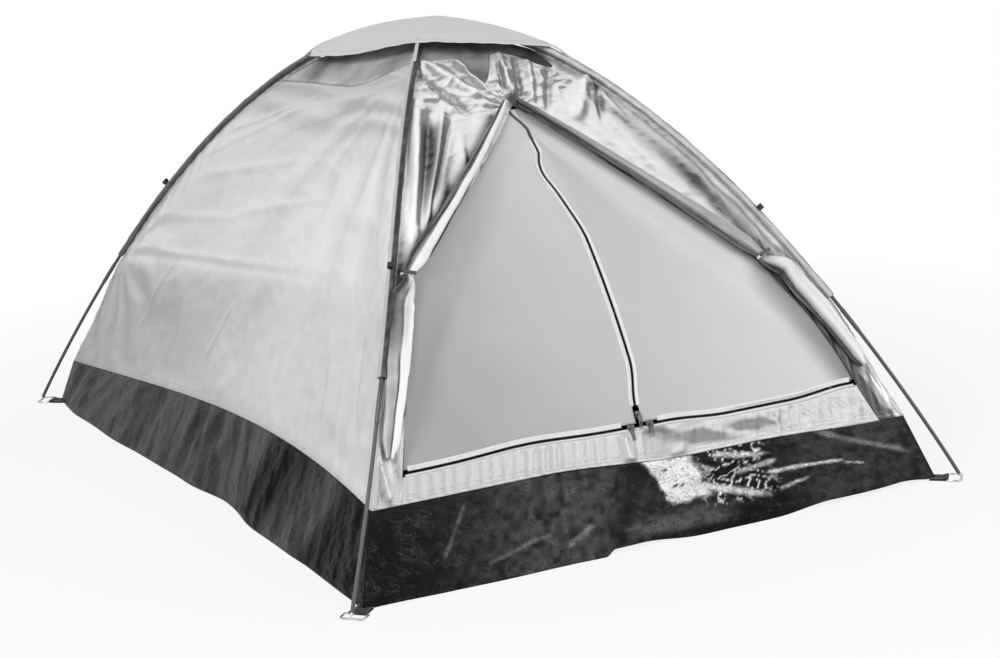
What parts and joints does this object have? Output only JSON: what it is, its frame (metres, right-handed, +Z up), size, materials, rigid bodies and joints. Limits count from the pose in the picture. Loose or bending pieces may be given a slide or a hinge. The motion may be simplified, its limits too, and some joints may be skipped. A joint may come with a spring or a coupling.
{
  "type": "dome tent",
  "caption": "Silver two-person dome tent on crossed shock-corded poles in sleeves, with black bathtub floor, mesh roof under a vent cap, rolled-up door flaps and a zipped mesh door.",
  "frame": {"origin": "on the ground, midway between the four pole feet, under the crossing of the poles", "axes": "+X to the right along the front wall, +Y towards the back wall, so the door faces -Y, +Z up"},
  "size_m": [1.5282, 2.0836, 1.0375],
  "materials": {
    "silver_polyester": "silver-coated woven polyester, thin and softly shiny",
    "black_groundsheet": "woven polyethylene sheet with a glossy, creased skin",
    "pale_cap_cloth": "pale woven polyester",
    "dark_roof_mesh": "fine black netting",
    "grey_door_mesh": "fine grey netting",
    "black_fibreglass": "black glass fibre with steel ferrules",
    "zinc_steel": "zinc-plated wire",
    "white_elastic": "covered elastic cord",
    "black_webbing": "woven tape",
    "zip_coil": "nylon coil on a woven tape",
    "zip_slider_metal": "die-cast zinc"
  },
  "bodies": {
    "tent": {"corner_pin_back_left": "zinc_steel", "corner_pin_back_right": "zinc_steel", "corner_pin_front_left": "zinc_steel", "corner_pin_front_right": "zinc_steel", "corner_webbing_back_left": "black_webbing", "corner_webbing_back_right": "black_webbing", "corner_webbing_front_left": "black_webbing", "corner_webbing_front_right": "black_webbing", "door_margin_left": "grey_door_mesh", "door_margin_right": "grey_door_mesh", "door_sill": "silver_polyester", "flap_tie_left": "white_elastic", "flap_tie_right": "white_elastic", "front_header": "silver_polyester", "front_panel_left": "silver_polyester", "front_panel_right": "silver_polyester", "guy_loop_back_left": "black_webbing", "guy_loop_back_right": "black_webbing", "guy_loop_front_left": "black_webbing", "guy_loop_front_right": "black_webbing", "pole_a_section_1": "black_fibreglass", "pole_a_section_2": "black_fibreglass", "pole_a_section_3": "black_fibreglass", "pole_a_section_4": "black_fibreglass", "pole_a_section_5": "black_fibreglass", "pole_a_section_6": "black_fibreglass", "pole_a_section_7": "black_fibreglass", "pole_a_section_8": "black_fibreglass", "pole_b_section_1": "black_fibreglass", "pole_b_section_2": "black_fibreglass", "pole_b_section_3": "black_fibreglass", "pole_b_section_4": "black_fibreglass", "pole_b_section_5": "black_fibreglass", "pole_b_section_6": "black_fibreglass", "pole_b_section_7": "black_fibreglass", "pole_b_section_8": "black_fibreglass", "rolled_flap_left": "silver_polyester", "rolled_flap_right": "silver_polyester", "roof_mesh": "dark_roof_mesh", "shock_cord_a": "white_elastic", "shock_cord_b": "white_elastic", "sleeve_back_left": "silver_polyester", "sleeve_back_right": "silver_polyester", "sleeve_front_left": "silver_polyester", "sleeve_front_right": "silver_polyester", "tub_floor": "black_groundsheet", "vent_cap": "pale_cap_cloth", "wall_back": "silver_polyester", "wall_left": "silver_polyester", "wall_right": "silver_polyester", "zip_sill": "zip_coil"},
    "leaf_left": {"door_leaf_left": "grey_door_mesh"},
    "leaf_right": {"door_leaf_right": "grey_door_mesh"},
    "slider_centre": {"slider_centre": "zip_slider_metal"},
    "tab_centre": {"pull_tab_centre": "zip_slider_metal"},
    "slider_left": {"slider_bottom_left": "zip_slider_metal"},
    "tab_left": {"pull_tab_bottom_left": "zip_slider_metal"},
    "slider_right": {"slider_bottom_right": "zip_slider_metal"},
    "tab_right": {"pull_tab_bottom_right": "zip_slider_metal"}
  },
  "joints": [
    {"name": "leaf_left_fold", "type": "hinge", "parent": "tent", "child": "leaf_left", "pos_m": [-0.555, -0.88783, 0.236], "axis": [-0.6105, -0.4746, -0.6341], "range_deg": [0, 90]},
    {"name": "leaf_right_fold", "type": "hinge", "parent": "tent", "child": "leaf_right", "pos_m": [0.555, -0.88783, 0.236], "axis": [-0.6105, 0.4746, 0.6341], "range_deg": [0, 90]},
    {"name": "centre_slider_travel", "type": "hinge", "parent": "tent", "child": "slider_centre", "pos_m": [0, 0.53212, -0.38678], "axis": [-1, 0, 0], "range_deg": [0, 24.39]},
    {"name": "centre_tab_swing", "type": "hinge", "parent": "slider_centre", "child": "tab_centre", "pos_m": [0, -0.88603, 0.25381], "axis": [-1, 0, 0], "range_deg": [0, 165]},
    {"name": "left_slider_travel", "type": "slide", "parent": "tent", "child": "slider_left", "axis": [-1, 0, 0], "range_m": [0, 0.49]},
    {"name": "left_tab_swing", "type": "hinge", "parent": "slider_left", "child": "tab_left", "pos_m": [-0.0235, -0.89558, 0.23223], "axis": [-1, 0, 0], "range_deg": [0, 165]},
    {"name": "right_slider_travel", "type": "slide", "parent": "tent", "child": "slider_right", "axis": [1, 0, 0], "range_m": [0, 0.49]},
    {"name": "right_tab_swing", "type": "hinge", "parent": "slider_right", "child": "tab_right", "pos_m": [0.0235, -0.89558, 0.23223], "axis": [-1, 0, 0], "range_deg": [0, 165]}
  ]
}
